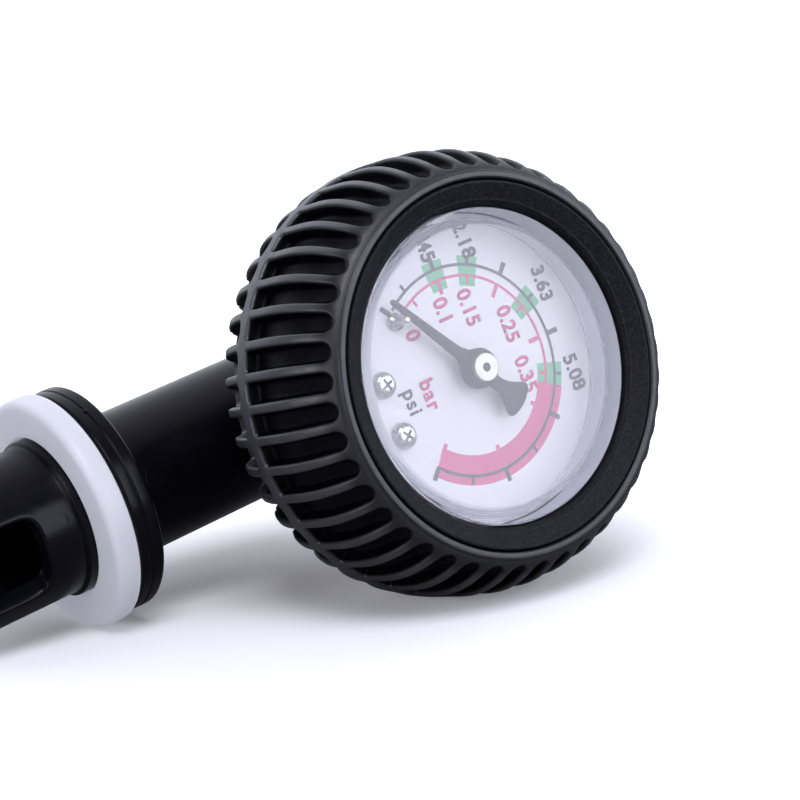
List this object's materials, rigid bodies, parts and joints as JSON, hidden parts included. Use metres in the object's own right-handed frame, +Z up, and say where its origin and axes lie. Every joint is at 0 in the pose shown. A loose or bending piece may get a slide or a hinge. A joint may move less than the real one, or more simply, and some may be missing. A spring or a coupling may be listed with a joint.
{
  "type": "inflation pressure gauge",
  "caption": "Hand-held dial pressure gauge in a ribbed rubber boot, on a side boss of a black moulded valve adapter with a flange, a white sealing washer and a plug-in nozzle.",
  "frame": {"origin": "centre of the footprint's bounding box, on the floor the gauge lies on", "axes": "+Z up with the gauge lying on its boot and its washer; the dial faces -Y and looks up by 8.5 degrees; the nozzle points to -X and slopes down by 10.9 degrees"},
  "size_m": [0.0998, 0.0688, 0.0623],
  "materials": {
    "boot_rubber": "fine matte, ribbed",
    "case_black": "finely textured",
    "lens_clear": "clear, polished",
    "dial_white": "printed white",
    "adapter_black": "moulded, satin",
    "washer_white": "translucent silicone",
    "pointer_black": "black enamel",
    "steel": "nickel plated",
    "brass": "plain"
  },
  "bodies": {
    "gauge": {"rubber_boot": "boot_rubber", "gauge_case": "case_black", "lens": "lens_clear", "dial_plate": "dial_white", "dial_screw_left": "steel", "dial_screw_right": "steel", "dial_post_left": "brass", "dial_post_right": "brass", "stop_pin": "steel", "socket_block": "brass", "case_screw_left": "steel", "case_screw_right": "steel", "stem_seal": "boot_rubber", "movement_back_plate": "brass", "movement_front_plate": "brass", "pillar_a": "brass", "pillar_b": "brass", "pillar_c": "brass", "plate_screw_a": "steel", "plate_screw_b": "steel", "plate_screw_c": "steel", "block_screw_left": "steel", "block_screw_right": "steel", "adapter_body": "adapter_black", "sealing_washer": "washer_white"},
    "bourdon": {"bourdon_tube": "brass", "tip_block": "brass"},
    "sector": {"sector_gear": "brass"},
    "link": {"link": "steel"},
    "pointer": {"pointer": "pointer_black", "pointer_bush": "steel", "pinion_arbor": "steel", "hairspring": "brass"}
  },
  "joints": [
    {"name": "sector_turn", "type": "hinge", "parent": "gauge", "child": "sector", "pos_m": [0.01591, -0.0185, 0.0196], "axis": [0, -0.989, 0.1478], "range_deg": [0, 32.75]},
    {"name": "pointer_turn", "type": "hinge", "parent": "gauge", "child": "pointer", "pos_m": [0.01886, -0.01923, 0.03163], "axis": [0, -0.989, 0.1478], "range_deg": [-262, 0]},
    {"name": "link_turn", "type": "hinge", "parent": "sector", "child": "link", "pos_m": [0.01554, -0.0181, 0.01552], "axis": [0, -0.989, 0.1478], "range_deg": [-40.3, 0]},
    {"name": "tube_flex", "type": "hinge", "parent": "gauge", "child": "bourdon", "pos_m": [0.00031, -0.00872, 0.03435], "axis": [0, -0.989, 0.1478], "range_deg": [0, 5.75], "stiffness_Nm_per_rad": 0.02}
  ],
  "couplings": [
    {"joint": "pointer_turn", "follows": "sector_turn", "ratio": -8},
    {"joint": "link_turn", "follows": "sector_turn", "ratio": -1.2275},
    {"joint": "tube_flex", "follows": "sector_turn", "ratio": 0.17405}
  ]
}
